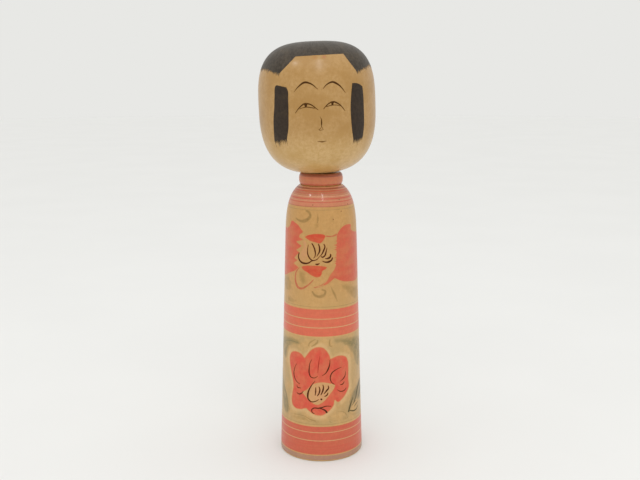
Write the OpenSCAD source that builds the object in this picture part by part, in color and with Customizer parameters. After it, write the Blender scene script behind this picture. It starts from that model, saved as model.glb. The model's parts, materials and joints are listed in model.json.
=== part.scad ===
// Turned kokeshi doll, in two pieces of wood as it comes off the lathe: a tapering
// body, and a head turned together with its tenon.  The tenon plugs into a blind
// socket in the neck of the body, and the head turns in it.
// Millimetres.  The foot stands on Z = 0 with its centre at the origin, and the
// face looks along -Y.

/* [Whole doll] */
// Height from the foot to the crown
doll_h = 303; // [280:1:330]

/* [Body] */
// Diameter at the foot
foot_d = 62; // [56:0.5:70]
// Radius of the rounded edge round the foot
foot_edge = 1; // [0.5:0.1:3]
// Diameter where the shoulder starts to round over
shoulder_d = 52.2; // [44:0.2:60]
// Height where the shoulder starts to round over
shoulder_z = 166; // [140:1:185]
// Diameter of the groove where the shoulder meets the neck bead
neck_d = 30.8; // [28:0.2:36]
// Squareness of the shoulder: 2 is an ellipse, more is squarer
shoulder_n = 3; // [2.5:0.1:3.5]

/* [Neck bead] */
// Diameter of the bead at its widest
bead_d = 31.8; // [29:0.2:36]
// Diameter of the flat top of the bead
bead_top_d = 27.8; // [24:0.2:31]
// Height of the bead
bead_h = 8.8; // [6:0.1:12]
// Height of the top of the bead above the foot
bead_top_z = 210.5; // [200:0.5:220]

/* [Head] */
// Diameter of the head at its widest
head_d = 83.4; // [76:0.2:90]
// Diameter of the flat seat under the head, round the tenon
seat_d = 27.2; // [24:0.2:30]
// Height of the crown above the widest place
crown_h = 44.4; // [40:0.2:50]
// Squareness of the crown
crown_n = 3.1; // [2.4:0.1:3.6]
// Squareness of the jaw
jaw_n = 2.75; // [2.3:0.05:3.2]
// Lean of the head towards -X, because its socket was bored a little crooked
lean = 2; // [0:0.1:3]

/* [Tenon and socket] */
// Diameter of the tenon
tenon_d = 16; // [12:0.5:18]
// Length of the tenon
tenon_l = 29; // [20:1:32]
// Chamfer round the tip of the tenon
tenon_chamfer = 1; // [0.5:0.1:2]
// Radial clearance that lets the tenon turn in its socket
running_gap = 0.05; // [0.02:0.01:0.1]
// Space left under the tip of the tenon
socket_gap = 1.5; // [0.5:0.1:4]
// Clearance between the leaning seat and the bead, where they come closest
seat_gap = 0.2; // [0.1:0.05:0.5]

/* [Hidden] */
$fn = 128;

wood_body = [0.76, 0.61, 0.40];
wood_head = [0.80, 0.67, 0.47];

foot_r = foot_d / 2;
shoulder_r = shoulder_d / 2;
bead_base_z = bead_top_z - bead_h;
bead_bulge = (bead_d - bead_top_d) / 2;
head_r = head_d / 2;
seat_r = seat_d / 2;
tenon_r = tenon_d / 2;
seat_z = bead_top_z + seat_gap + seat_r * sin(lean);
tip_z = seat_z - tenon_l;
widest_z = doll_h - crown_h;

// Half width of a superellipse of exponent n and unit half axes, at the height u
function reach(u, n) = pow(1 - pow(u, n), 1 / n);

// Point of a superellipse with half axes a and b, at the angle t from its tip
function bulge(a, b, n, t) = [a * pow(sin(t), 2 / n), b * pow(cos(t), 2 / n)];

// The body is a cone up to the shoulder, and the shoulder rounds that cone over.  It
// is cut off at the neck bead, short of the height at which it would close
function cone_r(z) = foot_r + (shoulder_r - foot_r) * z / shoulder_z;
shoulder_h = (bead_base_z - shoulder_z) / reach(neck_d / 2 / cone_r(bead_base_z), shoulder_n);
function shoulder_r_at(z) = cone_r(z) * reach((z - shoulder_z) / shoulder_h, shoulder_n);

// Outline of the body, from the centre of the foot to the centre of the bead's top
shoulder_steps = 20;
foot_edge_steps = 5;
bead_steps = 14;
foot_outline = [for (i = [0:foot_edge_steps])
    let (a = 90 * i / foot_edge_steps)
    [cone_r(foot_edge) - foot_edge * (1 - sin(a)), foot_edge * (1 - cos(a))]];
// The rings of the shoulder close up towards the neck, where it curves fastest
shoulder_outline = [for (i = [0:shoulder_steps])
    let (z = shoulder_z + (bead_base_z - shoulder_z) * sin(90 * i / shoulder_steps))
    [shoulder_r_at(z), z]];
bead_outline = [for (i = [1:bead_steps])
    let (a = 180 * i / bead_steps, z = bead_base_z + bead_h * (1 - cos(a)) / 2)
    [bead_top_d / 2 + bead_bulge * sin(a), z]];
body_outline = concat([[0, 0]], foot_outline, shoulder_outline, bead_outline, [[0, bead_top_z]]);

// Outline of the head with its tenon, from the tip of the tenon to the crown.  The
// jaw is cut off flat at the seat, so its full depth is a little more than its height
curve_steps = 30;
jaw_h = (widest_z - seat_z) / reach(seat_r / head_r, jaw_n);
tenon_outline = [
    [0, tip_z],
    [tenon_r - tenon_chamfer, tip_z],
    [tenon_r, tip_z + tenon_chamfer],
    [tenon_r, seat_z],
    [seat_r, seat_z]];
jaw_outline = [for (i = [0:curve_steps])
    let (p = bulge(head_r, jaw_h, jaw_n, 90 * i / curve_steps))
    if (p[0] > seat_r + 1) [p[0], widest_z - p[1]]];
crown_outline = [for (i = [curve_steps - 1:-1:0])
    let (p = bulge(head_r, crown_h, crown_n, 90 * i / curve_steps))
    [p[0], widest_z + p[1]]];
head_outline = concat(tenon_outline, jaw_outline, crown_outline);

// Puts a thing on the head's own axis, which crosses the body's at the tenon's tip
module on_head_axis() {
    translate([0, 0, tip_z]) rotate([0, -lean, 0]) translate([0, 0, -tip_z]) children();
}

module socket() {
    on_head_axis()
        translate([0, 0, tip_z - socket_gap])
            cylinder(r = tenon_r + running_gap, h = tenon_l + socket_gap + seat_gap + 5);
}

module body() {
    color(wood_body)
        difference() {
            rotate_extrude() polygon(body_outline);
            socket();
        }
}

module head() {
    color(wood_head) on_head_axis() rotate_extrude() polygon(head_outline);
}

body();
head();
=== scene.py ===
import json
import math
import random

import bpy
import numpy as np
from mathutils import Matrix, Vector
from mathutils.geometry import delaunay_2d_cdt


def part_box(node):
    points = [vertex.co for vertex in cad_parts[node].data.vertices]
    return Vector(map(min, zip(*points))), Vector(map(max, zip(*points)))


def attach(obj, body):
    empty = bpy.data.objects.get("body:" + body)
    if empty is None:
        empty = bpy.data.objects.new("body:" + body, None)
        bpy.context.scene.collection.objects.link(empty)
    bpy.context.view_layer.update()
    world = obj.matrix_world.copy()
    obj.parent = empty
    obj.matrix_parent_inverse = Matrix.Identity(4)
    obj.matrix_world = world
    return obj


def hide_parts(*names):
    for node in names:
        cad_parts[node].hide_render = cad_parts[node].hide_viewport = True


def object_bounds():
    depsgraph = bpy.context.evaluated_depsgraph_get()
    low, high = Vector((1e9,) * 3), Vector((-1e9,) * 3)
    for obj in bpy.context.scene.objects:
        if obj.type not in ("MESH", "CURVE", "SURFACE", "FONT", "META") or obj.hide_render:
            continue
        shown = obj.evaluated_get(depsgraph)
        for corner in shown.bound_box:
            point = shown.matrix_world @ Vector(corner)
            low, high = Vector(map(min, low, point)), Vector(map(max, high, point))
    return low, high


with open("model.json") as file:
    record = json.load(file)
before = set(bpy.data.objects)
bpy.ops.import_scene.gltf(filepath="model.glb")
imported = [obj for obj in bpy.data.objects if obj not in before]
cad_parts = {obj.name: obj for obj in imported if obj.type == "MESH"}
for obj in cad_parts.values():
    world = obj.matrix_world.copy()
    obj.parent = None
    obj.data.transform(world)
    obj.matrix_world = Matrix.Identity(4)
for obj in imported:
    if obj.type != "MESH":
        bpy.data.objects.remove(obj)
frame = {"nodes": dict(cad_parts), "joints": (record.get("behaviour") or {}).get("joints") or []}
cad_low, cad_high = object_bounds()

# A kokeshi doll: a turned and painted body, and a turned head that plugs into it and can be twisted.
# The two CAD solids are rebuilt as fine turned meshes, and every dye mark and ink stroke is a thin coat
# of its own on them. A place on the doll is given as (degrees, millimetres): degrees round from the
# front, to the viewer's right, and millimetres up the piece's axis. The body's heights start at its
# foot, and the head's at the tip of its tenon.

MM = 0.001  # one millimetre, in metres

# Mesh sizes
SEGMENTS = 256  # facets round a turned piece
ROUND = np.arange(SEGMENTS) * 360 / SEGMENTS  # the angles of their corners, in degrees
RING_STEP = 0.8 * MM  # between the rings of a turned piece
SOCKET_RINGS = 12
TENON_RINGS = 10
COAT_STEP = 0.9  # between the points inside a coat, in mm
LINE_STEP = 0.45  # between the points along an outline or a stroke, in mm
ROW_SHARE = 0.87  # between rows of the points inside a coat, as a share of their step
EDGE_SHARE = 0.45  # nearest that those points come to the outline, as a share of their step
CORE_R = 10 * MM  # wider than the socket and narrower than the neck
LEVEL = 0.01 * MM  # heights and radii closer than this are the same
SHARP = math.radians(38)  # edges bent more than this are shaded sharp

# Coats: how far each lies proud of the wood, and how deep its underside is sunk
SINK = 0.02 * MM
HALO = 0.02 * MM
WASH = 0.03 * MM
DYE = 0.05 * MM
INK = 0.07 * MM

# The camera, about where the photographer's was
CAMERA_PLACE = (-0.0005, -0.628, 0.283)
CAMERA_PITCH = math.radians(11.06)
CAMERA_ROLL = math.radians(0.13)
CAMERA_LENS = 48.9

# The studio: a wide pale floor under an even white sky, so that the doll looks the same from every side.
# Colours are as they look on a screen, from 0 to 255
FLOOR_R = 5
FLOOR_SIDES = 96
FLOOR_PAINT = (231, 231, 230)
SKY_WHITE = (232, 232, 229)
SUN_STRENGTH = 0.6
SUN_ANGLE = math.radians(100)
# The lamps: where each is, its width and length, its watts, and whether it is there for its highlight
LAMPS = {
    "front_lamp": ((0.1, -0.79, 1.13), (0.045, 0.56), 2.1, True),
    "left_lamp": ((-0.71, -0.49, 1.15), (0.07, 0.07), 1.2, True),
    "front_fill": ((0, -1.2, 1.5), (1.6, 1.2), 7, False),
}


# ---- curves

def chord(points):
    """Distance along a line of points, starting at 0."""
    steps = np.linalg.norm(np.diff(points, axis=0), axis=1)
    return np.concatenate([[0.0], np.cumsum(steps)])


def hermite(t, gap, start, end, start_slope, end_slope):
    """The cubic between two values with those slopes, at t from 0 to 1."""
    return (
        (2 * t**3 - 3 * t**2 + 1) * start + (t**3 - 2 * t**2 + t) * gap * start_slope
        + (3 * t**2 - 2 * t**3) * end + (t**3 - t**2) * gap * end_slope
    )


def smooth(points, step=LINE_STEP, closed=False):
    """A smooth curve through points, as new points about a step apart."""
    p = np.array(points, float)
    if closed:
        p = np.vstack([p[-1], p, p[0], p[1]])
    gap = np.maximum(np.linalg.norm(np.diff(p, axis=0), axis=1), 1e-9)
    slope = np.diff(p, axis=0) / gap[:, None]
    before, after = gap[:-1, None], gap[1:, None]
    inner = (slope[:-1] * after + slope[1:] * before) / (before + after)
    slopes = np.vstack([slope[0], inner, slope[-1]])
    first, last = (1, len(p) - 2) if closed else (0, len(p) - 1)
    curve = []
    for i in range(first, last):
        t = np.linspace(0, 1, max(2, math.ceil(gap[i] / step) + 1))[:-1, None]
        curve.append(hermite(t, gap[i], p[i], p[i + 1], slopes[i], slopes[i + 1]))
    if not closed:
        curve.append(p[-1:])
    return np.vstack(curve)


def steady(knots, values, places):
    """Values between knots, smooth and never beyond the two values on each side."""
    gap, rise = np.diff(knots), np.diff(values) / np.diff(knots)
    slopes = np.concatenate([[rise[0]], np.zeros(len(gap) - 1), [rise[-1]]])
    same_way = rise[:-1] * rise[1:] > 0
    slopes[1:-1][same_way] = 2 / (1 / rise[:-1][same_way] + 1 / rise[1:][same_way])
    i = np.clip(np.searchsorted(knots, places, side="right") - 1, 0, len(gap) - 1)
    t = (places - knots[i]) / gap[i]
    return hermite(t, gap[i], values[i], values[i + 1], slopes[i], slopes[i + 1])


def bristles(start, end, count, pull, draw):
    """A ragged brush edge from start to end: count tips drawn out along pull. draw is seeded."""
    start, end, pull = (np.array(value, float) for value in (start, end, pull))
    points = [start]
    for i in range(count):
        tip = (i + draw.uniform(0.3, 0.7)) / count
        points.append(start + (end - start) * tip + pull * draw.uniform(0.35, 1.0))
        if i < count - 1:
            notch = (i + 1 + draw.uniform(-0.15, 0.15)) / count
            points.append(start + (end - start) * notch + pull * draw.uniform(-0.1, 0.15))
    return [*points, end]


def outline(chart, runs, sharp=None):
    """A closed flat outline. Each run starts at the last point of the one before it, and is smooth, but
    the run with the number sharp keeps its corners."""
    lines = []
    for i, run in enumerate(runs):
        points = chart.flat([runs[i - 1][-1], *run])
        lines.append((points if i == sharp else smooth(points))[:-1])
    return np.vstack(lines)


# ---- turned surfaces

def about_axis(node, base, axis):
    """Radius and height about an axis of every vertex of a CAD node, in metres."""
    points = np.array([v.co for v in frame["nodes"][node].data.vertices], float) - np.array(base)
    height = points @ np.array(axis)
    return np.linalg.norm(points - np.outer(height, axis), axis=1), height


class Turned:
    """A turned surface: the outline of a CAD node about its axis, as fine steps of radius and height."""

    def __init__(self, node, base, axis, outside):
        """outside picks the vertices that are on the outline, from their radius and height."""
        self.base, self.axis = np.array(base, float), np.array(axis, float)
        self.front = np.array((0.0, -1.0, 0.0))
        self.side = np.cross(self.axis, self.front)
        radius, height = about_axis(node, base, axis)
        keep = outside(radius, height)
        radius, height = radius[keep], height[keep]
        levels = np.unique(np.round(height / LEVEL)) * LEVEL
        widest = np.array([radius[np.abs(height - level) < 2 * LEVEL].max() for level in levels])
        knots = chord(np.column_stack([widest, levels]))
        fine = [knots[:1]]
        for a, b in zip(knots[:-1], knots[1:]):
            fine.append(np.linspace(a, b, math.ceil((b - a) / RING_STEP) + 1)[1:])
        fine = np.concatenate(fine)
        self.radius, self.height = steady(knots, widest, fine), steady(knots, levels, fine)
        self.run = chord(np.column_stack([self.radius, self.height]))
        turn = np.arctan2(np.gradient(self.radius, self.run), np.gradient(self.height, self.run))
        self.lean_out, self.lean_up = np.cos(turn), -np.sin(turn)

    def at(self, degrees, radius, height):
        """Points at an angle round from the front, a radius and a height."""
        angle = np.radians(degrees)[..., None]
        out = np.sin(angle) * self.side + np.cos(angle) * self.front
        return self.base + out * np.asarray(radius)[..., None] + self.axis * np.asarray(height)[..., None]

    def on(self, degrees, run, proud=0.0):
        """Points on the surface, or proud of it, a distance up along its outline."""
        radius = np.interp(run, self.run, self.radius) + proud * np.interp(run, self.run, self.lean_out)
        height = np.interp(run, self.run, self.height) + proud * np.interp(run, self.run, self.lean_up)
        return self.at(degrees, radius, height)

    def run_at(self, millimetres):
        """How far along the outline a height in millimetres is."""
        return np.interp(np.asarray(millimetres, float) * MM, self.height, self.run)


class SideChart:
    """Unrolls the side of a turned surface into flat millimetres: across and up."""

    def __init__(self, surface, millimetres, grain=(1, 0.08), turn=0):
        """millimetres is the height where a degree keeps its length, grain is small along the brush, and
        turn is where the degrees are counted from."""
        self.surface, self.grain, self.turn = surface, grain, turn
        self.per_degree = math.radians(np.interp(millimetres * MM, surface.height, surface.radius) / MM)

    def flat(self, points):
        return (np.array(points, float) + (self.turn, 0)) * (self.per_degree, 1)

    def place(self, flat, proud):
        run = self.surface.run_at(flat[:, 1])
        return self.surface.on(flat[:, 0] / self.per_degree, run, proud)

    def brush(self, flat):
        return np.column_stack([flat * self.grain, np.zeros(len(flat))])


class CrownChart:
    """Spreads the top of a turned surface flat: millimetres out from its top, along each angle."""

    def __init__(self, surface, turn):
        self.surface, self.turn = surface, turn

    def flat(self, points):
        degrees, millimetres = np.array(points, float).T
        angle = np.radians(degrees + self.turn)
        out = (self.surface.run[-1] - self.surface.run_at(millimetres)) / MM
        return np.column_stack([out * np.sin(angle), -out * np.cos(angle)])

    def place(self, flat, proud):
        out = np.hypot(flat[:, 0], flat[:, 1])
        degrees = np.degrees(np.arctan2(flat[:, 0], -flat[:, 1]))
        return self.surface.on(degrees, self.surface.run[-1] - out * MM, proud)

    def brush(self, flat):
        """Brush marks that run out from the top."""
        out = np.maximum(np.hypot(flat[:, 0], flat[:, 1]), 1e-6)
        width = self.surface.radius.max() / MM
        return np.column_stack([flat / out[:, None] * width, out * 0.08])


joint = frame["joints"][0]
tenon_tip, head_axis = joint["pos_m"], joint["axis"]
foot_centre, upright = (0, 0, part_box("body")[0].z), (0, 0, 1)
body = Turned("body", foot_centre, upright, lambda radius, height: radius > CORE_R)
head = Turned("head", tenon_tip, head_axis,
              lambda radius, height: height > height[radius > CORE_R].min() - LEVEL)


# ---- meshes

def ring_faces(low, high):
    """The faces between two rings of vertices, given the first vertex of each."""
    pairs = [(j, (j + 1) % SEGMENTS) for j in range(SEGMENTS)]
    return [(low + j, low + after, high + after, high + j) for j, after in pairs]


def skin(start, rings, end):
    """Vertices and faces of a closed turned solid: a point, rings and a point."""
    verts = np.vstack([[start], *rings, [end]])
    last = len(verts) - 1 - SEGMENTS
    faces = [(0, 1 + (j + 1) % SEGMENTS, 1 + j) for j in range(SEGMENTS)]
    for low in range(1, last, SEGMENTS):
        faces += ring_faces(low, low + SEGMENTS)
    faces += [(last + j, last + (j + 1) % SEGMENTS, last + SEGMENTS) for j in range(SEGMENTS)]
    return verts, faces


def filled(loops, starts, ends, step):
    """Points and triangles that fill flat loops, with points inside them about a step apart. starts and
    ends are those of the loops' edges."""
    edges = []
    for loop in loops:
        first = len(edges)
        edges += [(first + i, first + (i + 1) % len(loop)) for i in range(len(loop))]
    low, high = starts.min(0), starts.max(0)
    grid = []
    for row, y in enumerate(np.arange(low[1] + step / 2, high[1], step * ROW_SHARE)):
        grid += [(x, y) for x in np.arange(low[0] + step * (0.5 + row % 2 / 2), high[0], step)]
    grid = np.array(grid).reshape(-1, 2)
    clear = edge_distance(grid, starts, ends) > step * EDGE_SHARE
    grid = grid[inside(grid, starts, ends) & clear]
    vectors = [Vector(point) for point in np.vstack([starts, grid])]
    flat, _, faces, *_ = delaunay_2d_cdt(vectors, edges, [], 0, 1e-5)
    flat, faces = np.array([tuple(v) for v in flat]), np.array(faces)
    faces = faces[inside(flat[faces].mean(1), starts, ends)]
    used, faces = np.unique(faces, return_inverse=True)
    return flat[used], faces.reshape(-1, 3)


def coat(chart, loops, proud, step=COAT_STEP):
    """A thin closed coat that fills flat loops, with loops inside loops left bare.
    Returns its vertices, faces, distance from its edge in mm, and brush directions."""
    starts = np.vstack(loops)
    ends = np.vstack([np.roll(loop, -1, axis=0) for loop in loops])
    flat, faces = filled(loops, starts, ends, step)
    count = len(flat)
    sides = dict.fromkeys(side for a, b, c in faces.tolist() for side in ((a, b), (b, c), (c, a)))
    walls = [(b, a, a + count, b + count) for a, b in sides if (b, a) not in sides]
    verts = np.vstack([chart.place(flat, proud), chart.place(flat, -SINK)])
    under = (faces[:, ::-1] + count).tolist()
    distance = edge_distance(flat, starts, ends)
    return verts, faces.tolist() + under + walls, np.tile(distance, 2), np.tile(chart.brush(flat), (2, 1))


def inside(points, starts, ends):
    """Whether each flat point is inside the loops."""
    x, y = points[:, 0, None], points[:, 1, None]
    crosses = (starts[:, 1] > y) != (ends[:, 1] > y)
    rise = np.where(ends[:, 1] == starts[:, 1], 1.0, ends[:, 1] - starts[:, 1])
    meets = starts[:, 0] + (y - starts[:, 1]) / rise * (ends[:, 0] - starts[:, 0])
    return (crosses & (x < meets)).sum(1) % 2 == 1


def edge_distance(points, starts, ends):
    """How far each flat point is from the nearest edge of the loops."""
    along = ends - starts
    length = np.maximum((along**2).sum(1), 1e-12)
    nearest = []
    for point in points:
        t = np.clip(((point - starts) * along).sum(1) / length, 0, 1)
        nearest.append(np.linalg.norm(starts + along * t[:, None] - point, axis=1).min())
    return np.array(nearest)


def stroke(chart, points, widths, proud):
    """A brush stroke: a closed low ridge along a smooth line of (degrees, mm) places, with its widths
    at the start, middle and end in mm."""
    line = smooth(chart.flat(points))
    t = chord(line) / chord(line)[-1]
    width = np.interp(t, [0, 0.5, 1], widths)
    width = np.maximum(width * np.minimum(1, 6 * np.sqrt(t * (1 - t))), 0.06)
    along = np.gradient(line, axis=0)
    along /= np.linalg.norm(along, axis=1)[:, None]
    across = np.column_stack([along[:, 1], -along[:, 0]])
    profile = [(-1, -SINK), (-1, 0.6 * proud), (-0.5, 0.9 * proud), (0, proud),
               (0.5, 0.9 * proud), (1, 0.6 * proud), (1, -SINK)]
    verts = [chart.place(line + across * (width * side / 2)[:, None], lift) for side, lift in profile]
    distance = [width / 2 * (1 - abs(side)) for side, _ in profile]
    n, sides = len(line), len(profile)
    firsts = range(0, sides * n, n)
    faces = [firsts[::-1], [first + n - 1 for first in firsts]]
    for a, b in zip(firsts, [*firsts[1:], 0]):
        faces += [(a + k, b + k, b + k + 1, a + k + 1) for k in range(n - 1)]
    brush = np.outer(chord(line), (0, 0.2, 0))
    return np.vstack(verts), faces, np.concatenate(distance), np.tile(brush, (sides, 1))


def strokes(chart, lines, proud=INK):
    return [stroke(chart, route, widths, proud) for route, widths in lines]


def blot(chart, points, proud, step=COAT_STEP):
    """A coat with a smooth closed outline."""
    return coat(chart, [smooth(chart.flat(points), closed=True)], proud, step)


def band(surface, low, high, proud):
    """A closed painted band right round a turned surface, between two heights in mm."""
    ends = surface.run_at([low, high])
    run = np.linspace(*ends, max(3, math.ceil((ends[1] - ends[0]) / RING_STEP) + 1))
    rows = [(r, proud) for r in run] + [(r, -SINK) for r in run[::-1]]
    verts = [surface.on(ROUND, r, lift) for r, lift in rows]
    faces = []
    for i in range(len(rows)):
        faces += ring_faces(i * SEGMENTS, (i + 1) % len(rows) * SEGMENTS)
    edge = np.array([min(r - ends[0], ends[1] - r) / MM for r, _ in rows])
    angle = np.radians(ROUND)
    brush = [np.column_stack([np.sin(angle), np.cos(angle), np.full(SEGMENTS, r / MM)]) for r, _ in rows]
    return np.vstack(verts), faces, np.repeat(edge, SEGMENTS), np.vstack(brush)


def add(name, data):
    """A new object in the scene that shows data."""
    made = bpy.data.objects.new(name, data)
    bpy.context.scene.collection.objects.link(made)
    return made


def piece(name, parts, material, slot, rides):
    """One object of the doll, from the closed parts that it is made of."""
    verts, faces, edge, brush = [], [], [], []
    for points, corners, *marks in parts:
        faces += [[i + len(verts) for i in face] for face in corners]
        verts += points.tolist()
        if marks:
            edge += marks[0].tolist()
            brush += marks[1].tolist()
    mesh = bpy.data.meshes.new(name)
    mesh.from_pydata(verts, [], faces)
    mesh.validate()
    if edge:
        mesh.attributes.new("edge", "FLOAT", "POINT").data.foreach_set("value", edge)
        mesh.attributes.new("brush", "FLOAT_VECTOR", "POINT").data.foreach_set("vector", np.ravel(brush))
    mesh.shade_smooth()
    mesh.set_sharp_from_angle(angle=SHARP)
    mesh.materials.append(material)
    made = add(name, mesh)
    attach(made, rides)
    return made


# ---- materials

def srgb(*levels):
    """A colour given as it looks on a screen, from 0 to 255, as the linear colour that shaders use."""
    return tuple(((v / 255 + 0.055) / 1.055) ** 2.4 for v in levels) + (1,)


class Shader:
    """One node material, built a node at a time."""

    def __init__(self, name):
        self.material = bpy.data.materials.new(name)
        self.material.use_nodes = True
        self.tree = self.material.node_tree
        self.surface = self.tree.nodes["Principled BSDF"]

    def node(self, kind, inputs, out=0, **settings):
        """Adds a node, sets or links its inputs, and returns one of its outputs."""
        made = self.tree.nodes.new("ShaderNode" + kind)
        for key, value in settings.items():
            setattr(made, key, value)
        for key, value in inputs.items():
            self.put(made.inputs[key], value)
        return made.outputs[out]

    def put(self, socket, value):
        if isinstance(value, bpy.types.NodeSocket):
            self.tree.links.new(value, socket)
        else:
            socket.default_value = value

    def math(self, operation, a, b=0):
        return self.node("Math", {0: a, 1: b}, operation=operation)

    def scaled(self, vector, factors):
        return self.node("VectorMath", {0: vector, 1: factors}, operation="MULTIPLY")

    def noise(self, vector, scale, detail=2, roughness=0.5):
        """Noise about 0.5, mostly from 0.3 to 0.7. scale is in blotches to one unit of vector."""
        return self.node("TexNoise", {"Vector": vector, "Scale": scale, "Detail": detail,
                                      "Roughness": roughness})

    def ramp(self, value, low, high, start=0, end=1):
        """value from low to high, eased, as start to end."""
        return self.node("MapRange", {"Value": value, "From Min": low, "From Max": high, "To Min": start,
                                      "To Max": end}, interpolation_type="SMOOTHSTEP")

    def mix(self, share, a, b, blend="MIX"):
        return self.node("Mix", {0: share, 6: a, 7: b}, out=2, data_type="RGBA", blend_type=blend)

    def blended(self, *parts):
        """The sum of values, each times its weight."""
        total, *rest = [self.math("MULTIPLY", value, weight) for value, weight in parts]
        for value in rest:
            total = self.math("ADD", total, value)
        return total

    def shaded(self, colour, shade):
        """A colour made lighter or darker by a value about 1."""
        grey = self.node("CombineColor", {0: shade, 1: shade, 2: shade})
        return self.mix(1, colour, grey, "MULTIPLY")

    def place(self):
        """Where a point of the object is, in millimetres."""
        return self.scaled(self.node("TexCoord", {}, out="Object"), (1 / MM,) * 3)

    def marks(self):
        """How far a point of a coat is from the coat's edge in mm, and its place along the brush."""
        edge = self.node("Attribute", {}, out="Fac", attribute_name="edge")
        return edge, self.node("Attribute", {}, out="Vector", attribute_name="brush")


# The wood's colours: its pale and dark fibres, the blotches that age and wax have left, the painted light
# from below that makes it paler between two heights in mm, going down, and a stain that lies between two
# heights
# On the body the paler part below is partly painted light and partly the wood's own greyer tone
BODY_WOOD = dict(pale=srgb(199, 152, 91), dark=srgb(183, 137, 77), blotch=srgb(184, 141, 82),
                 painted_light_tint=(1.1, 1.2, 1.4, 1), painted_light_from=150, painted_light_to=92)
STAINED_BODY = dict(BODY_WOOD, stain=srgb(160, 141, 98), stain_span=(27.5, 94.4))
# On the head the paler jaw is painted light: bounce light and sheen from the pale floor
HEAD_WOOD = dict(pale=srgb(185, 145, 88), dark=srgb(167, 125, 63), blotch=srgb(165, 122, 56),
                 painted_light_tint=(1.33, 1.5, 1.9, 1), painted_light_from=248, painted_light_to=222)
# Wood that is already dyed, under lines that lie over a red band or a leaf
RED_GROUND = dict(pale=srgb(191, 113, 82), dark=srgb(182, 105, 76), blotch=srgb(184, 104, 76))
LEAF_GROUND = dict(pale=srgb(158, 136, 88), dark=srgb(142, 122, 76), blotch=srgb(146, 126, 80))
WORN_BROWN = srgb(108, 88, 58)  # where hair ink is rubbed through
PITH = (24, 31, 0)  # where the middle of the tree was, in mm
RING_WIDTH = 2.6  # between two years of growth, in mm
# How a surface shines: its bare reflection, and the weight and roughness of a clear coat of wax
WAXED = (0.25, 0.35, 0.13)
SATIN = (0.4, 0.4, 0.24)
INKED = (0.12, 0.04, 0.2)
HAIR_SHINE = (0.18, 0.1, 0.2)


def wood_tone(s, pale, dark, blotch, painted_light_tint=(1, 1, 1, 1), painted_light_from=1, painted_light_to=0, stain=None,
              stain_span=(0, 1)):
    """Turned dogwood, tan with age: fine upright fibres, faint growth rings, mottle and blotches, and
    painted light that makes it paler below a height. Returns its colour, a shade value about 1, and its
    fibres."""
    place = s.place()
    fibres = s.noise(s.scaled(place, (1, 1, 0.08)), 2.4, 2, 0.6)
    streaks = s.noise(s.scaled(place, (1, 1, 0.1)), 0.3, 3)
    mottle = s.noise(place, 0.45, 5, 0.7)
    blotches = s.noise(place, 0.06, 4, 0.6)
    from_pith = s.node("VectorMath", {0: s.scaled(place, (1, 1, 0)), 1: PITH}, out=1, operation="DISTANCE")
    wander = s.math("MULTIPLY", s.noise(s.scaled(place, (1, 1, 0.3)), 0.06), 9)
    year = s.math("SINE", s.math("MULTIPLY", s.math("ADD", from_pith, wander), math.tau / RING_WIDTH))
    grain = s.blended((fibres, 0.22), (streaks, 0.14), (mottle, 0.64), (year, 0.01))
    colour = s.mix(s.ramp(grain, 0.3, 0.7), dark, pale)
    colour = s.mix(s.ramp(blotches, 0.42, 0.66, 0, 0.7), colour, blotch)
    height = s.node("SeparateXYZ", {0: place}, out=2)
    # Painted light from below: the wood turns paler going down between two heights
    low = s.ramp(height, painted_light_to, painted_light_from, 1, 0)
    colour = s.mix(low, colour, s.mix(1, colour, painted_light_tint, "MULTIPLY"))
    if stain:
        above = s.ramp(height, stain_span[0], stain_span[0] + 1)
        below = s.ramp(height, stain_span[1] - 1, stain_span[1], 1, 0)
        patches = s.ramp(s.noise(place, 0.12, 3), 0.3, 0.65, 0.1, 0.4)
        share = s.math("MULTIPLY", s.math("MULTIPLY", above, below), patches)
        colour = s.mix(share, colour, stain)
    return colour, s.ramp(grain, 0.36, 0.64, 0.94, 1.05), fibres


def finish(s, colour, fibres, roughness, bump=0.03, shine=WAXED):
    """Hand-rubbed wax over the wood and the dye. bump is the depth of its fibres in mm."""
    s.put(s.surface.inputs["Base Color"], colour)
    s.put(s.surface.inputs["Roughness"], s.ramp(fibres, 0.3, 0.7, roughness + 0.06, roughness - 0.06))
    for socket, value in zip(("Specular IOR Level", "Coat Weight", "Coat Roughness"), shine):
        s.surface.inputs[socket].default_value = value
    normal = s.node("Bump", {"Height": fibres, "Strength": 1, "Distance": bump * MM})
    s.put(s.surface.inputs["Normal"], normal)
    return s.material


def wood_material(name, tones, shine):
    s = Shader(name)
    colour, _, fibres = wood_tone(s, **tones)
    return finish(s, colour, fibres, 0.44, shine=shine)


def dye_material(name, colour, strength, fade, patchy, ground=BODY_WOOD):
    """Thin dye that lets the wood's fibres through, and soaks out into bare wood over fade mm at its
    edge. patchy is how much the brush left out, from 0 to 1."""
    s = Shader(name)
    bare, shade, fibres = wood_tone(s, **ground)
    edge, brush = s.marks()
    loaded = s.noise(brush, 0.9, 3, 0.6)
    ragged = s.math("MULTIPLY", s.math("SUBTRACT", loaded, 0.5), fade * 1.6)
    cover = s.ramp(s.math("ADD", edge, ragged), 0, fade)
    dense = s.ramp(loaded, 0.32, 0.68, strength, strength * (1 - patchy))
    cover = s.math("MULTIPLY", cover, dense)
    return finish(s, s.mix(cover, bare, s.shaded(srgb(*colour), shade)), fibres, 0.42)


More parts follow.
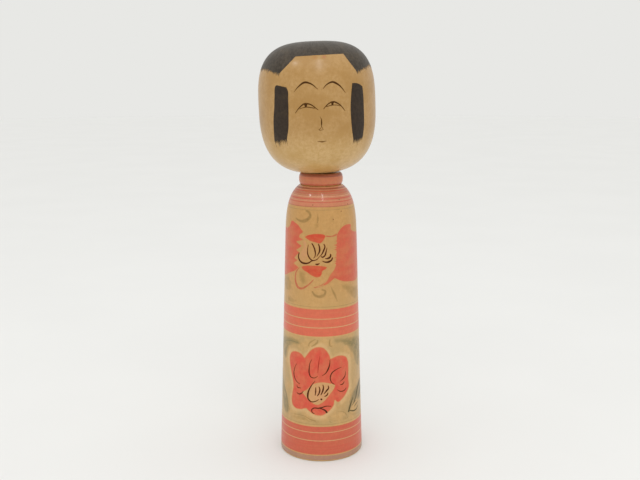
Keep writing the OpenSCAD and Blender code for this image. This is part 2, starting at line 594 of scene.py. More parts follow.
def hair_material(name, thick, thin, worn):
    """Black ink laid on with a dry brush, thin in places, brown where it is worn and broken at its
    edge. worn is from 0 to 1."""
    s = Shader(name)
    bare, *_ = wood_tone(s, **HEAD_WOOD)
    edge, brush = s.marks()
    hairs = s.noise(brush, 1.4, 2, 0.6)
    broken = s.math("MULTIPLY", s.math("SUBTRACT", hairs, 0.5), 0.7)
    cover = s.ramp(s.math("ADD", edge, broken), -0.25, 0.05, 0, 0.97)
    place = s.place()
    load = s.blended((hairs, 0.25), (s.noise(place, 0.5, 4, 0.7), 0.75))
    rubbed = s.ramp(s.noise(place, 0.09, 4, 0.6), 0.52, 0.72, 0, worn)
    inked = s.mix(s.ramp(load, 0.38, 0.62), srgb(*thick), srgb(*thin))
    inked = s.mix(rubbed, inked, WORN_BROWN)
    return finish(s, s.mix(cover, bare, inked), hairs, 0.46, 0.02, HAIR_SHINE)


def ink_material(name, thick, thin):
    """Brush ink that dries darker where it lay thick, and brown where it lay thin."""
    s = Shader(name)
    edge, brush = s.marks()
    load = s.math("ADD", s.math("MULTIPLY", edge, 1.5), s.noise(brush, 1.1, 3))
    colour = s.mix(s.ramp(load, 0.4, 1), srgb(*thin), srgb(*thick))
    return finish(s, colour, load, 0.45, 0.01, INKED)


def paint_material(name, colour, roughness):
    """The studio's matt paint, with a very faint mottle."""
    s = Shader(name)
    mottle = s.noise(s.node("TexCoord", {}, out="Object"), 6, 3)
    painted = s.shaded(srgb(*colour), s.ramp(mottle, 0.3, 0.7, 0.985, 1))
    s.put(s.surface.inputs["Base Color"], painted)
    s.surface.inputs["Roughness"].default_value = roughness
    return s.material


# ---- paints

# The dyes of the two slots: the colour and strength of each, how far it fades at its edge in mm, how
# patchy the brush left it, and the wood under it where that isn't the plain body's
RED_DYES = {
    "lathe_red": ((210, 98, 71), 1, 0.12, 0.12),
    "lathe_red_base": ((199, 88, 64), 1, 0.12, 0.12),
    "lathe_red_faded": ((181, 109, 75), 1, 0.2, 0.12),
    "lathe_red_rubbed": ((195, 121, 88), 1, 0.2, 0.12),
    "lathe_red_bead": ((201, 111, 77), 0.95, 0.2, 0.25),
    "lathe_red_bright": ((196, 80, 60), 0.95, 0.3, 0.5, RED_GROUND),
    # The dark red is darker dye; at the top of the bead, under the head, it is also the head's painted
    # shadow
    "lathe_red_dark_and_shadow": ((120, 56, 34), 0.65, 0.3, 0.7, RED_GROUND),
    "lathe_red_worn": ((163, 122, 108), 0.95, 0.4, 0.3),
    "lathe_pink": ((214, 152, 116), 0.75, 0.1, 0.3),
    "lathe_pale": ((214, 166, 122), 1, 0.2, 0.45, RED_GROUND),
    "petal_red": ((209, 76, 54), 1, 0.9, 0.22),
    "petal_blush": ((205, 140, 100), 0.55, 0.8, 0.5),
    "wing_red": ((200, 86, 58), 1, 0.5, 0.25),
    "bud_red": ((199, 64, 32), 1, 0.6, 0.25),
    "line_red": ((184, 84, 54), 0.95, 0.15, 0.3),
    "bud_blush": ((204, 140, 100), 0.6, 1.2, 0.5),
    "forehead_dot_left": ((170, 98, 76), 0.3, 1.4, 0.4, HEAD_WOOD),
    "forehead_dot_right": ((170, 98, 76), 0.7, 1.4, 0.4, HEAD_WOOD),
}
LEAF_DYES = {
    "lathe_olive": ((134, 116, 70), 0.8, 0.25, 0.5),
    "petal_halo": ((212, 174, 122), 0.8, 3, 0.2, STAINED_BODY),
    "leaf_wash_low": ((129, 113, 66), 0.92, 3, 0.5, STAINED_BODY),
    "leaf_wash_high": ((138, 108, 46), 0.6, 3, 0.5, STAINED_BODY),
    "leaf_line": ((126, 98, 42), 0.82, 1.2, 0.5, STAINED_BODY),
    "leaf_vein": ((112, 98, 56), 0.8, 0.5, 0.4, LEAF_GROUND),
    "leaf_dark": ((104, 98, 68), 0.75, 2.4, 0.4, STAINED_BODY),
}
# The inks: their slot, and their colours where they lie thick and thin
INKS = {
    "face_ink": ("black_ink", (68, 40, 6), (118, 80, 26)),
    "mouth_ink": ("black_ink", (116, 82, 42), (142, 106, 60)),
    "petal_ink": ("black_ink", (70, 34, 8), (128, 62, 24)),
    "leaf_ink": ("black_ink", (86, 75, 44), (136, 117, 72)),
    "petal_red_deep": ("red_dye", (158, 48, 34), (184, 66, 46)),
    "speck_brown": ("leaf_dye", (138, 90, 56), (158, 110, 72)),
}
# The dry-brushed inks: their colours where they lie thick and thin, and how worn they are
HAIR_INKS = {
    "hair_ink": ((45, 41, 36), (67, 61, 54), 0.15),
    "lock_ink": ((29, 22, 19), (45, 36, 30), 0.12),
}


def mix_paints():
    """The material and the slot of every dye and ink, by its name."""
    paints = {}
    for slot, dyes in (("red_dye", RED_DYES), ("leaf_dye", LEAF_DYES)):
        for name, recipe in dyes.items():
            paints[name] = dye_material(name, *recipe), slot
    for name, (slot, thick, thin) in INKS.items():
        paints[name] = ink_material(name, thick, thin), slot
    for name, recipe in HAIR_INKS.items():
        paints[name] = hair_material(name, *recipe), "black_ink"
    return paints


PAINTS = mix_paints()


def painted(name, paint, parts, rides="body"):
    """A mark on the doll, in one of the paints."""
    piece(name, parts, *PAINTS[paint], rides)


# ---- the turned wood

def make_body_wood():
    """The body: its foot, cone, shoulder and neck bead, and the leaning socket down into it."""
    wide, tall = about_axis("body", tenon_tip, head_axis)
    socket_r, socket_floor = wide[wide < CORE_R].max(), tall[wide < CORE_R].min()
    rings = [body.at(ROUND, body.radius[0] * share, 0) for share in (0.3, 0.65)]
    rings += [body.at(ROUND, r, h) for r, h in zip(body.radius, body.height)]
    # The socket leans, so its mouth in the flat top of the bead is higher on one side
    top = body.height[-1] - tenon_tip[2]
    mouth = (top - socket_r * np.sin(np.radians(ROUND)) * head.side[2]) / head.axis[2]
    for share in np.linspace(0, 1, SOCKET_RINGS):
        rings.append(head.at(ROUND, socket_r, mouth * (1 - share) + socket_floor * share))
    floor_centre = head.base + head.axis * socket_floor
    made = piece("body_wood", [skin(foot_centre, rings, floor_centre)],
                 wood_material("body_dogwood", STAINED_BODY, WAXED), "body_wood", "body")
    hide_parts("body")


def make_head_wood():
    """The head: its tenon, the flat seat round it, and the jaw and crown."""
    wide, tall = about_axis("head", tenon_tip, head_axis)
    tenon = (wide < CORE_R) & (tall < head.height[0])
    tip_r, tenon_r = wide[tenon & (tall < LEVEL)].max(), wide[tenon].max()
    chamfer_end = tall[tenon & (wide > tenon_r - LEVEL)].min()
    rings = [head.at(ROUND, tip_r * share, 0) for share in (0.5, 1)]
    rings += [head.at(ROUND, tenon_r, h) for h in np.linspace(chamfer_end, head.height[0], TENON_RINGS)]
    rings += [head.at(ROUND, r, h) for r, h in zip(head.radius, head.height)]
    crown = head.base + head.axis * head.height[-1]
    made = piece("head_wood", [skin(tenon_tip, rings, crown)],
                 wood_material("head_dogwood", HEAD_WOOD, SATIN), "head_wood", "head")
    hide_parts("head")


# ---- bands painted on the lathe

# The bands: their paint, how proud they are, and the heights that each one lies between
BANDS = {
    "foot_wash": ("lathe_red_worn", WASH, [(0.5, 4.7)]),
    "base_band": ("lathe_red_base", DYE, [(5.2, 15.7), (16.2, 22.1), (22.6, 26.9)]),
    "middle_band": ("lathe_red", DYE, [(94.9, 101.1), (101.6, 107.6), (108.1, 115)]),
    "gap_line": ("lathe_pink", WASH, [(15.7, 16.2), (22.1, 22.6), (101.1, 101.6), (107.6, 108.1)]),
    "shoulder_band_low": ("lathe_red_rubbed", DYE, [(188.3, 195.4)]),
    "shoulder_band_high": ("lathe_red_faded", DYE, [(195.4, 201.6)]),
    "bead_band": ("lathe_red_bead", DYE, [(202, 210.45)]),
    "shoulder_line_pale": ("lathe_pale", INK, [(192.2, 192.6), (195.1, 195.7), (196.2, 196.5),
        (199.4, 199.8), (201, 201.4)]),
    "shoulder_line_red": ("lathe_red_bright", INK, [(191.2, 191.9), (193.4, 194.3), (197.1, 197.6),
        (198.5, 199.2), (202.6, 203.4)]),
    # The top dark line, at the top of the bead under the head, is darker dye and the head's painted shadow
    "shoulder_line_dark_and_shadow": ("lathe_red_dark_and_shadow", INK, [(188.3, 188.8), (199.9, 200.8), (208.3, 210.4)]),
    "olive_line": ("lathe_olive", DYE, [(28.2, 28.8), (116.4, 117), (186.1, 186.6)]),
}


def make_bands():
    """Red bands with hair-thin gaps, and single lines of pale, bright and dark red and of olive. The dark
    line at the top of the bead is also the head's painted shadow.
    """
    for name, (paint, proud, spans) in BANDS.items():
        for number, (low, high) in enumerate(spans, 1):
            painted(f"{name}_{number}", paint, [band(body, low, high, proud)])


# ---- the flower below

# The peony's outline, as smooth runs that meet at the notches between its petals. In every outline a run
# goes on from the last point of the run before it, and the first run from the end of the last
PEONY_PETALS = [
    [(-29.7, 81), (-36, 82.2), (-44, 82), (-51.2, 79.8), (-54, 76), (-53.5, 72), (-49, 64), (-45, 56.5),
     (-47, 49), (-48, 44), (-46, 40.3), (-40.5, 38.5), (-33, 38.3), (-22.2, 40)],
    [(-17.8, 38), (-12, 36.3), (-5.5, 35.3), (2, 35.5), (8, 37.2), (14, 40), (18.2, 43), (19.5, 46.4)],
    [(21.5, 44.9), (25, 44.4), (30, 46), (40, 51), (43.7, 54.2), (43.2, 60), (43.5, 67), (42.6, 74.8),
     (40, 77.7), (32.5, 79.8), (25, 80.1), (18.5, 79.4), (13.8, 78.4)],
    [(12, 81.4), (8.3, 84.5), (4, 86.5), (-1.7, 87.4), (-8.4, 87), (-15, 85.2), (-20.4, 82.2), (-25, 78.8)],
]
PEONY_HEART = [
    [(-20, 54.4), (-13, 58), (-6.5, 59.8), (2.5, 60.3), (10.7, 59.4), (18.8, 57.8)],
    [(16, 54.8), (10, 50.8), (5, 47.8), (0, 45.5), (-5.5, 44.1), (-11.3, 45), (-17, 47), (-24, 50.6),
     (-27, 51.9)],
]
PEONY_STROKES = [
    ([(-38.6, 73), (-41.8, 69.6), (-43.7, 65.4), (-41.5, 61.3), (-36.5, 58.8), (-32, 57.8)],
     (0.3, 0.9, 0.5)),
    ([(-37.5, 57), (-37, 55.4), (-30, 55)], (0.4, 0.8, 0.4)),
    ([(-37.8, 51), (-34.6, 50.2), (-30.7, 50.7), (-26, 53.3)], (0.6, 0.9, 0.3)),
    ([(-13.4, 78), (-16.4, 75.2), (-17.6, 71.3), (-17.5, 67), (-15, 64.5), (-9.8, 64), (-5, 65.4)],
     (0.3, 1, 0.4)),
    ([(12.5, 77.6), (12, 74), (9.5, 70.3), (5.8, 67.4), (0.8, 65.7)], (0.4, 1.1, 0.3)),
    ([(31.4, 71), (22, 69.7), (15.4, 67.5), (12.8, 64.2), (14.5, 60.6), (19.2, 58.4)], (0.3, 0.9, 0.5)),
    ([(37.4, 67.3), (36.2, 63.7), (32, 61.5), (27.3, 60.2)], (0.3, 0.9, 0.4)),
    ([(35, 59.7), (33, 58.2), (27.3, 57.6)], (0.5, 0.9, 0.4)),
    ([(38.6, 54.5), (35, 52.9), (28, 52.7), (22.7, 54.5)], (0.5, 0.8, 0.3)),
    ([(-8.6, 62), (-13, 59), (-17.3, 55.2), (-19.6, 51.2), (-19, 47.7), (-14.6, 45.8), (-8.8, 46.2),
      (-3, 48)], (0.4, 1.2, 0.4)),
    ([(-8.1, 57), (-8.1, 54.3), (-9, 50.4)], (0.5, 0.9, 0.4)),
    ([(-3.6, 57.7), (-2.2, 55.3), (-3.2, 52.7), (-6, 50.2)], (0.5, 1, 0.5)),
    ([(2, 59.2), (2.9, 57), (2, 54.4), (-1, 51)], (0.5, 1.1, 0.5)),
    ([(9.5, 58.4), (10.3, 56.4), (7.4, 54.4), (3.3, 51.8)], (0.5, 1.1, 0.4)),
    ([(9.5, 53), (8.2, 51.3), (4, 49.8)], (0.5, 0.9, 0.4)),
    ([(-1.4, 48.4), (0, 47.9), (1.3, 47.4)], (1, 1.3, 0.8)),
    ([(14.4, 42.3), (6.6, 42.6), (0, 41.6), (-4.7, 41.1), (-10.4, 41.1), (-13.7, 39.7), (-12.8, 37.5),
      (-9.5, 36.8)], (0.5, 1, 0.6)),
    ([(-6.3, 41.3), (0, 40.7), (5.8, 39.1), (8, 37.2)], (0.3, 1, 1.3)),
]
PEONY_RED_LINE = ([(-2, 80.8), (-3.3, 77), (-4.5, 71.7), (-5, 67.4)], (0.4, 0.9, 0.5))
PEONY_MIDDLE = 62  # height of its middle, in mm
PEONY_BRUSH = 1.2  # how much wider its strokes are than the widths given
HALO_SIZE = 1.16  # the clean rim round the petals, as a share of their size


def make_peony():
    """The low flower: its petals, the clean rim round them, its blushed heart and its ink strokes."""
    chart = SideChart(body, PEONY_MIDDLE, grain=(0.16, 0.12))
    petals, heart = outline(chart, PEONY_PETALS), outline(chart, PEONY_HEART)
    middle = petals.mean(0)
    rim = middle + (petals - middle) * HALO_SIZE
    painted("peony_petals", "petal_red", [coat(chart, [petals, heart], DYE)])
    painted("peony_halo", "petal_halo", [coat(chart, [rim, heart], HALO)])
    painted("peony_heart", "petal_blush", [coat(chart, [heart], WASH)])
    bold = [(route, np.multiply(widths, PEONY_BRUSH)) for route, widths in PEONY_STROKES]
    painted("peony_strokes", "petal_ink", strokes(chart, bold))
    painted("peony_red_line", "petal_red_deep", strokes(chart, [PEONY_RED_LINE]))


# ---- the flower above

# The wings, from the top round the back. The left one's inner edge is a run with corners, and the right
# one's is a fringe of bristles that ends at its tip
LEFT_WING = [
    [(-31.8, 172.2), (-37.6, 175), (-46.7, 176.9), (-53, 177.8), (-56.8, 177)],
    [(-59.7, 173.9), (-71, 171.4), (-84, 171.6), (-96, 167), (-103, 157), (-101, 146), (-92, 138),
     (-82, 135.4), (-71, 136.2), (-57, 139), (-43, 141.8), (-36, 144.8)],
    [(-47, 147), (-38, 149.7), (-45.4, 151), (-40, 153.5), (-34.4, 155.4), (-41.3, 157), (-35.6, 158.5),
     (-30, 160.8), (-36, 161.6), (-41, 163), (-34.5, 163.8), (-27.4, 165.1), (-35.9, 166.6), (-35, 168.2),
     (-29.6, 169.9), (-24, 170)],
]
RIGHT_WING_TIP = (24.8, 166.1)
RIGHT_WING = [
    [(24.9, 168.2), (27.5, 170.6), (32.8, 173.2), (38.6, 174.7), (49, 175.3), (57, 174.8)],
    [(55.6, 171.4), (66, 168.9), (78, 168), (90, 164), (96, 155), (95, 144), (86, 135.5), (67.4, 132.4),
     (49.5, 133.1), (37, 134), (26.8, 135.7), (21, 137.2)],
    [(17.3, 135.9), (8.4, 133), (2.3, 131.9), (-9, 131)],
    [(2.3, 133.2), (8.4, 135.9), (13.7, 140.2), (20.2, 144), (23, 147.2)],
]
TOP_PETAL = [
    [(-22.5, 168.6), (-15, 169.6), (-4, 170), (5, 169.4), (8.5, 168.3)],
    [(5.8, 166.2), (2.2, 163.8), (-1.3, 162.7), (-9.4, 163.4), (-18.6, 164.6), (-27.4, 167)],
]
LOW_PETAL = [
    [(-25.8, 146.6), (-13.6, 147), (-0.4, 146.9), (10.6, 146)],
    [(7.5, 144.2), (2.3, 142.6), (1.4, 140.4), (-1.2, 138.8), (-6.4, 138.2), (-14.4, 139.3), (-21.8, 141.3),
     (-28.7, 143.1), (-32.9, 145.4)],
]
# Thin red lines, with their widths
FLOWER_LINES = {
    "petal_link": ([(6.5, 168.2), (10.3, 167.9), (17.6, 167.8), (26, 169)], (1.3, 0.9, 1.6)),
    "wing_tail_tip": ([(7, 134), (1, 132.4), (-5, 131.5), (-11.5, 130.8)], (2.4, 1.4, 0.7)),
    "bud_loop": ([(-35, 144.8), (-41.7, 141), (-43.4, 137.5), (-42, 133), (-37.7, 130), (-31.3, 129.4),
          (-24.4, 131), (-18, 133.4), (-10.8, 137)], (0.7, 2, 0.6)),
}
BLUSH = [(-31, 164), (-25, 164.5), (-22, 158), (-22, 151), (-27, 149), (-34, 150), (-34, 156), (-29, 160)]
FLOWER_STROKES = [
    ([(-36, 155.6), (-37.6, 152.2), (-35.2, 149.8), (-31, 148.4), (-25.8, 148), (-20, 148.5),
      (-14.6, 150.1), (-8.3, 151)], (0.9, 1.4, 0.5)),
    ([(-20, 162), (-21.3, 158.4), (-21, 155), (-18.3, 152.3), (-13.7, 150.6), (-7.4, 151.1), (-1.3, 154.2)],
     (0.4, 1.1, 0.3)),
    ([(-14.8, 163), (-12, 161), (-9.7, 158.2), (-8.8, 155.4), (-10, 153), (-12, 152)], (0.9, 1.1, 0.4)),
    ([(-4.4, 162.8), (-2.6, 160.4), (-2.6, 157), (-5.3, 154.6), (-7, 153.3)], (0.8, 1.3, 0.4)),
    ([(4, 162.6), (5.8, 160.8), (3.6, 157.5), (0.9, 155), (-1.7, 153.6)], (0.7, 1.2, 0.5)),
    ([(9.3, 160), (7.5, 156.6), (5.8, 154.2), (2.2, 153), (-0.4, 153.6)], (0.4, 1.1, 0.9)),
    ([(14.7, 155.3), (14.3, 153.2), (10.2, 152), (5.8, 152)], (1, 1.5, 0.5)),
    ([(18, 152.7), (16, 150.7), (12, 149.6), (6.6, 149.4), (1.4, 150.3)], (0.9, 1.5, 0.4)),
    ([(-9.2, 148), (-5.6, 147.8), (-2, 148.6)], (0.9, 1.3, 0.4)),
]
FLOWER_MIDDLE = 153  # height of its middle, in mm


def make_upper_flower():
    """The high flower: two wing petals, a bud between them, its thin lines, blush and ink strokes."""
    draw = random.Random(11)
    chart = SideChart(body, FLOWER_MIDDLE, grain=(0.1, 0.2))
    fringe = bristles(RIGHT_WING[-1][-1], RIGHT_WING_TIP, 13, (-6.2, 0.3), draw)[1:]
    petals = {
        "wing_petal_left": ("wing_red", LEFT_WING, 2),
        "wing_petal_right": ("wing_red", [*RIGHT_WING, fringe], 4),
        "bud_petal_top": ("bud_red", TOP_PETAL, None),
        "bud_petal_low": ("bud_red", LOW_PETAL, None),
    }
    for name, (paint, runs, sharp) in petals.items():
        painted(name, paint, [coat(chart, [outline(chart, runs, sharp)], DYE)])
    for name, line in FLOWER_LINES.items():
        painted(name, "line_red", strokes(chart, [line], DYE))
    painted("bud_blush", "bud_blush", [blot(chart, BLUSH, WASH)])
    painted("flower_strokes", "petal_ink", strokes(chart, FLOWER_STROKES))


# ---- leaves and olive washes

# Closed smooth blots of thin olive dye, round the low flower and round the high one
LOW_WASHES = {
    "leaf_top_left": [(-92, 85), (-78, 90), (-60, 92.2), (-44, 92.6), (-33, 91.2), (-29.5, 88.4),
        (-35, 86.4), (-45, 85.8), (-53, 83.6), (-58, 79.5), (-63, 73), (-72, 73), (-84, 78)],
    "leaf_top_right": [(18, 92.6), (32, 93), (46, 92.8), (62, 92), (78, 89), (86, 82), (82, 73), (70, 65.5),
        (62, 68), (55, 74.5), (50, 79.5), (44, 83.5), (36, 86), (30, 88.6), (19, 89.8)],
    "leaf_side_left": [(-106, 69), (-88, 63.5), (-74, 57), (-65, 51), (-58, 46), (-53, 41), (-49, 35.4),
        (-55, 32), (-64, 31), (-72, 34.5), (-82, 43), (-94, 56)],
}
HIGH_WASHES = {
    "leaf_low_left": [(-50, 31), (-46, 33), (-32, 34.4), (-22, 34.7), (-14, 34), (-8, 32), (-2, 31.4),
        (-4, 29.8), (-22, 29.6), (-38, 29.8)],
    "leaf_low_right": [(9, 31), (10, 33.3), (19, 32.6), (28, 31.6), (35, 33.2), (42, 31.8), (40, 29.5),
        (28, 29.6), (15, 29.7)],
    "leaf_low_edge": [(45, 34.4), (53, 33.7), (66, 32.4), (80, 32), (72, 29.6), (57, 29.6), (48, 31)],
    "leaf_under_wing": [(-84, 134), (-70, 137), (-58, 137), (-52, 133), (-51, 128), (-58, 124.5),
        (-74, 125)],
    "leaf_in_loop": [(-36, 143), (-29, 143), (-23, 139), (-23, 133), (-29, 131.6), (-35, 134)],
    "leaf_right": [(31, 133), (44, 132.4), (60, 130), (76, 128), (78, 121), (66, 117.6), (52, 121),
        (42, 125.5), (32, 129)],
    "leaf_spot_right": [(15, 182.4), (20, 183), (23, 180), (21, 176.6), (16.5, 176.8)],
    "leaf_spot_middle": [(-12, 177), (-4, 178.5), (-2, 174.5), (-9, 172.6)],
    "leaf_below_left": [(-66, 121.5), (-48, 122), (-38, 119.6), (-44, 117.6), (-64, 117.6)],
}
# Soft olive lines, with their widths
WASH_LINES = {
    "tendril_high": ([(-46, 180), (-38, 178.5), (-29, 178.2), (-22, 179.7), (-17.5, 182.3), (-20, 184.6),
          (-27, 186)], (2, 3.6, 2.4)),
    "tendril_ring": ([(-14, 128.5), (-10, 125.6), (-2, 124.4), (5, 126), (6, 128.5), (0, 129.6)],
         (2.4, 3.2, 2)),
    "tendril_right": ([(13.7, 132.5), (17, 129), (21, 125), (25, 120)], (1.2, 2.6, 1.4)),
    "tendril_middle": ([(-6, 184), (-5, 180), (-6, 177)], (1.2, 2.4, 2)),
    "leaf_tip_one": ([(-19, 87), (-18, 89.3), (-13, 91.6), (-8, 93)], (1.8, 2, 1.4)),
    "leaf_tip_two": ([(-15, 87.2), (-9, 89.2), (-5.5, 91), (-6, 92.8)], (1.4, 2.2, 1.6)),
    "leaf_tip_three": ([(13, 93), (12, 90.4), (13, 87.8), (16.5, 87.4)], (1.8, 2.2, 1.6)),
    "stem_low": ([(-50, 33), (-36, 34.2), (-24, 34), (-16, 32.2), (-7, 31)], (0.8, 1.6, 2.2)),
    "stem_low_right": ([(19, 37), (26, 37.5), (33, 36.3), (38, 33.6), (40, 30.5)], (0.8, 1.6, 1.4)),
    "stem_low_tip": ([(11, 31.6), (13, 30.2), (16, 29.8)], (1.2, 1.8, 1)),
}
LEAF_VEINS = [
    ([(-98, 65.5), (-82, 58), (-68, 50.6), (-60, 45), (-56.5, 38.5), (-58, 32.5)], (0.5, 1.3, 1)),
    ([(-76, 48), (-68, 40.7), (-61, 37.9)], (0.4, 0.9, 0.5)),
    ([(30, 90.6), (48, 88.5), (62, 84), (70, 77), (69, 68)], (0.5, 1.1, 0.7)),
    ([(-80, 84), (-64, 87.4), (-48, 89), (-34, 88.6)], (0.5, 1.1, 0.7)),
]
DARK_LEAF = [(39.5, 35), (40, 38.8), (42.4, 42.8), (47, 47.7), (55, 51.8), (66, 55), (78, 56.6), (90, 56),
             (98, 52), (88, 46), (77, 41), (68, 39.8), (60, 42), (53, 40.4), (47, 36.6), (43, 34.6)]
DARK_LEAF_STROKES = [
    ([(52.1, 45.2), (48.2, 42.4), (44.5, 38.6), (41.6, 35)], (0.8, 1.4, 1.5)),
    ([(76, 56), (70.9, 53.3), (64.7, 50), (58.7, 43.7), (52.6, 40.4)], (1.4, 1.7, 0.8)),
    ([(43.8, 36.2), (47.9, 35.3), (53, 34.5), (60.7, 34.9), (66, 36.6)], (0.8, 1.1, 0.5)),
    ([(49.3, 39), (54.7, 40.9), (59.4, 41.9)], (0.5, 0.8, 0.4)),
    ([(54.5, 37.5), (61, 39), (66, 39.8)], (0.5, 0.8, 0.4)),
    ([(84, 50), (76, 46.5), (68, 43)], (0.5, 1.2, 0.6)),
]
# Small brown specks in the wood and the dye
SPECKS = [(28, 199.8), (35.5, 192.9), (-17.3, 198.7), (53.7, 189.1), (35.5, 184.8), (19.9, 179.5),
          (-14.4, 189.6)]


def make_leaves():
    """Olive leaves, tendrils and veins, the dark leaf with its ink strokes, and the specks."""
    lower = SideChart(body, PEONY_MIDDLE, grain=(0.25, 0.25))
    upper = SideChart(body, FLOWER_MIDDLE, grain=(0.25, 0.25))
    for name, shape in LOW_WASHES.items():
        painted(name, "leaf_wash_low", [blot(lower, shape, WASH)])
    for name, shape in HIGH_WASHES.items():
        painted(name, "leaf_wash_high", [blot(upper, shape, WASH)])
    for name, line in WASH_LINES.items():
        painted(name, "leaf_line", strokes(upper, [line], DYE))
    painted("leaf_veins", "leaf_vein", strokes(lower, LEAF_VEINS))
    painted("leaf_dark", "leaf_dark", [blot(lower, DARK_LEAF, WASH)])
    painted("leaf_dark_strokes", "leaf_ink", strokes(lower, DARK_LEAF_STROKES))
    dabs = [[(turn - 1.2, mm), (turn, mm + 0.15), (turn + 1.2, mm)] for turn, mm in SPECKS]
    painted("specks", "speck_brown", strokes(upper, [(dab, (0.6, 1.0, 0.6)) for dab in dabs]))


# ---- the painted head

FACE_TURN = 3.7  # how far the face looks to the viewer's right, in degrees
FACE_MIDDLE = 80  # about where the eyes are, above the tenon's tip

# The hair's front edge: a straight fringe between two slanting cuts that end in tips
CUT_LEFT = [(-41.2, 99.7), (-37, 102.4), (-33, 105), (-29.3, 107.6), (-25.7, 110.3)]
CUT_RIGHT = [(30.1, 111), (31.8, 108.1), (34.1, 105.2), (36.8, 102.3), (39.8, 99.3)]
FRINGE_POINTS = 30
HAIR_SIDE = 66  # where the ragged edge reaches its full height, in degrees from the face
HAIR_BACK_HEIGHT = 103.5

# The face, in degrees from its own middle
FACE_LINES = {
    "brow_left": ([(-24.8, 87), (-20.5, 90.3), (-14.2, 93.1), (-8, 91.9), (-2, 88.2)], (0.25, 1.45, 0.35)),
    "brow_right": ([(2.3, 88.3), (6.5, 91.3), (11.6, 92.7), (17.5, 90.8), (24.6, 85.1)],
         (0.35, 1.45, 0.25)),
    "eyelid_left": ([(-24.5, 72.8), (-19.8, 76.7), (-14.4, 79.2), (-10.6, 78.8), (-2.3, 74.6)],
         (0.4, 1.1, 0.5)),
    "eyelid_right": ([(2.2, 75), (6.4, 78.1), (10.8, 79.7), (17.6, 77.8), (23.6, 73)], (0.5, 1.1, 0.4)),
    "lower_lid_left": ([(-20.3, 75.6), (-16.5, 76.5), (-12.2, 76.8), (-8.8, 76.4), (-5.4, 75.9)],
         (0.35, 0.6, 0.6)),
    "lower_lid_right": ([(4.6, 76.6), (8.2, 77.2), (11.2, 77.5), (14.8, 77.4), (18.8, 76.6)],
         (0.6, 0.6, 0.35)),
}
IRISES = {
    "iris_left": [(-16.2, 78.9), (-12, 78.9), (-12.6, 77.9), (-13, 76.7), (-14.7, 76.7), (-15, 77.9)],
    "iris_right": [(9.3, 79.5), (12.7, 79.4), (12, 78.5), (11.7, 77.5), (9.9, 77.5), (9.8, 78.6)],
}
NOSE = [
    ([(-0.9, 70.4), (-0.7, 68.8)], (0.15, 0.3, 0.25)),
    ([(0.1, 69.2), (0.15, 66), (0, 63.4)], (0.5, 1, 0.4)),
    ([(0, 64), (-0.8, 62.5), (-2.6, 61.5), (-0.4, 61.2), (2, 61.6)], (0.3, 0.4, 0.3)),
    ([(0.15, 63.8), (0.8, 62.6), (1.6, 61.7)], (0.3, 0.35, 0.3)),
]
MOUTH = ([(-4.6, 53.7), (-2, 53.5), (0.2, 53.3), (2.4, 53.5), (4.8, 53.7)], (0.3, 1.1, 0.3))
# Spots of pink dye at the fringe: degrees from the middle of the face
PINK_DOTS = {"forehead_dot_left": -3.8, "forehead_dot_right": 6.2}
PINK_DOT_HEIGHT = 109.3
PINK_DOT_SIZE = (3.2, 1.6)  # half its width in degrees, and half its height in mm

# The side locks: the top edge, one side down to the ragged end, and the other side up from it
LOCK_LEFT_EDGES = [
    [(-44.5, 91.7), (-40, 91.3), (-32.6, 90.2)],
    [(-31.1, 88), (-30.9, 82), (-31.3, 71), (-32.6, 62), (-35.6, 55.4)],
    [(-52.8, 54), (-51.2, 60), (-49.6, 69.4), (-47.6, 78), (-47, 83)],
]
LOCK_RIGHT_EDGES = [
    [(37.8, 91.2), (43, 90), (45.6, 88.8)],
    [(46.3, 82), (46.5, 72.4), (46.9, 62), (46.7, 54.4)],
    [(33.8, 53), (31.6, 58.4), (29.6, 68), (29.5, 77), (31, 86), (32.5, 91.4)],
]


def make_hair():
    """The cap of hair and the two side locks."""
    draw = random.Random(5)
    crown = CrownChart(head, FACE_TURN)
    front = [*CUT_LEFT[:-1], *np.linspace(CUT_LEFT[-1], CUT_RIGHT[0], FRINGE_POINTS), *CUT_RIGHT[1:]]
    right, left = (HAIR_SIDE, HAIR_BACK_HEIGHT), (360 - HAIR_SIDE, HAIR_BACK_HEIGHT)
    left_tip = (front[0][0] + 360, front[0][1])
    ragged = bristles(front[-1], right, 13, (0, -3), draw)[:-1]
    ragged += bristles(right, left, 110, (0, -2.8), draw)[:-1]
    ragged += bristles(left, left_tip, 13, (0, -3), draw)
    edge = crown.flat(front + ragged[1:])
    painted("hair_cap", "hair_ink", [coat(crown, [edge], INK, step=1.6)], "head")
    chart = SideChart(head, FACE_MIDDLE, turn=FACE_TURN)
    locks = {"side_lock_left": (LOCK_LEFT_EDGES, 15, -5), "side_lock_right": (LOCK_RIGHT_EDGES, 13, -4.6)}
    for name, (edges, tips, pull) in locks.items():
        ends = bristles(edges[1][-1], edges[2][0], tips, (0, pull), draw)
        runs = [*edges[:2], ends[1:], edges[2][1:]]
        painted(name, "lock_ink", [coat(chart, [outline(chart, runs, sharp=2)], INK)], "head")


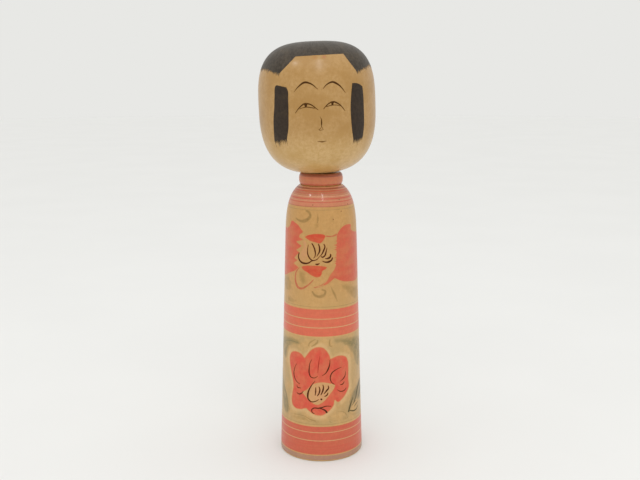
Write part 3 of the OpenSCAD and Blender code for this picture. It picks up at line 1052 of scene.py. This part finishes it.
def make_face():
    """The brows, the eyes, the nose and the mouth, and the pink spots at the fringe."""
    chart = SideChart(head, FACE_MIDDLE, turn=FACE_TURN)
    for name, line in FACE_LINES.items():
        painted(name, "face_ink", strokes(chart, [line]), "head")
    for name, shape in IRISES.items():
        painted(name, "face_ink", [blot(chart, shape, INK, step=0.5)], "head")
    painted("nose", "face_ink", strokes(chart, NOSE), "head")
    painted("mouth", "mouth_ink", strokes(chart, [MOUTH]), "head")
    turns = np.radians(np.arange(0, 360, 45))
    for name, degrees in PINK_DOTS.items():
        spot = np.column_stack([np.sin(turns), np.cos(turns)]) * PINK_DOT_SIZE + (degrees, PINK_DOT_HEIGHT)
        painted(name, name, [blot(chart, spot, WASH)], "head")


# ---- the studio

def make_floor():
    """A wide round floor, of one flat face."""
    turns = np.linspace(0, math.tau, FLOOR_SIDES, endpoint=False)
    rim = [(FLOOR_R * math.cos(t), FLOOR_R * math.sin(t), 0) for t in turns]
    mesh = bpy.data.meshes.new("studio_floor")
    mesh.from_pydata(rim, [], [range(FLOOR_SIDES)])
    mesh.materials.append(paint_material("studio_paint", FLOOR_PAINT, 0.75))
    add("studio_floor", mesh)


def make_light(name, place, size, watts, highlight):
    """A flat light that the camera doesn't see. It shows only as a highlight, or lights softly and makes
    none."""
    data = bpy.data.lights.new(name, "AREA")
    data.shape, data.energy = "RECTANGLE", watts
    data.size, data.size_y = size
    made = add(name, data)
    made.location = place
    aim = Vector((0, 0, cad_high.z * 0.6)) - made.location
    made.rotation_euler = aim.to_track_quat("-Z", "Y").to_euler()
    made.visible_camera = False
    made.visible_glossy = highlight
    made.visible_diffuse = not highlight


def make_studio():
    """The floor, the lamps, a wide soft sun straight overhead and the sky."""
    make_floor()
    for name, recipe in LAMPS.items():
        make_light(name, *recipe)
    above = bpy.data.lights.new("overhead", "SUN")
    above.energy, above.angle = SUN_STRENGTH, SUN_ANGLE
    add("overhead", above)
    world = bpy.data.worlds.new("room")
    world.use_nodes = True
    world.node_tree.nodes["Background"].inputs["Color"].default_value = srgb(*SKY_WHITE)
    bpy.context.scene.world = world
    bpy.context.scene.view_settings.view_transform = "Standard"


def make_camera():
    data = bpy.data.cameras.new("camera")
    data.lens = CAMERA_LENS
    camera = add("camera", data)
    camera.location = CAMERA_PLACE
    camera.rotation_euler = (math.pi / 2 - CAMERA_PITCH, CAMERA_ROLL, 0)
    bpy.context.scene.camera = camera


make_body_wood()
make_head_wood()
make_bands()
make_peony()
make_upper_flower()
make_leaves()
make_hair()
make_face()
make_studio()
make_camera()
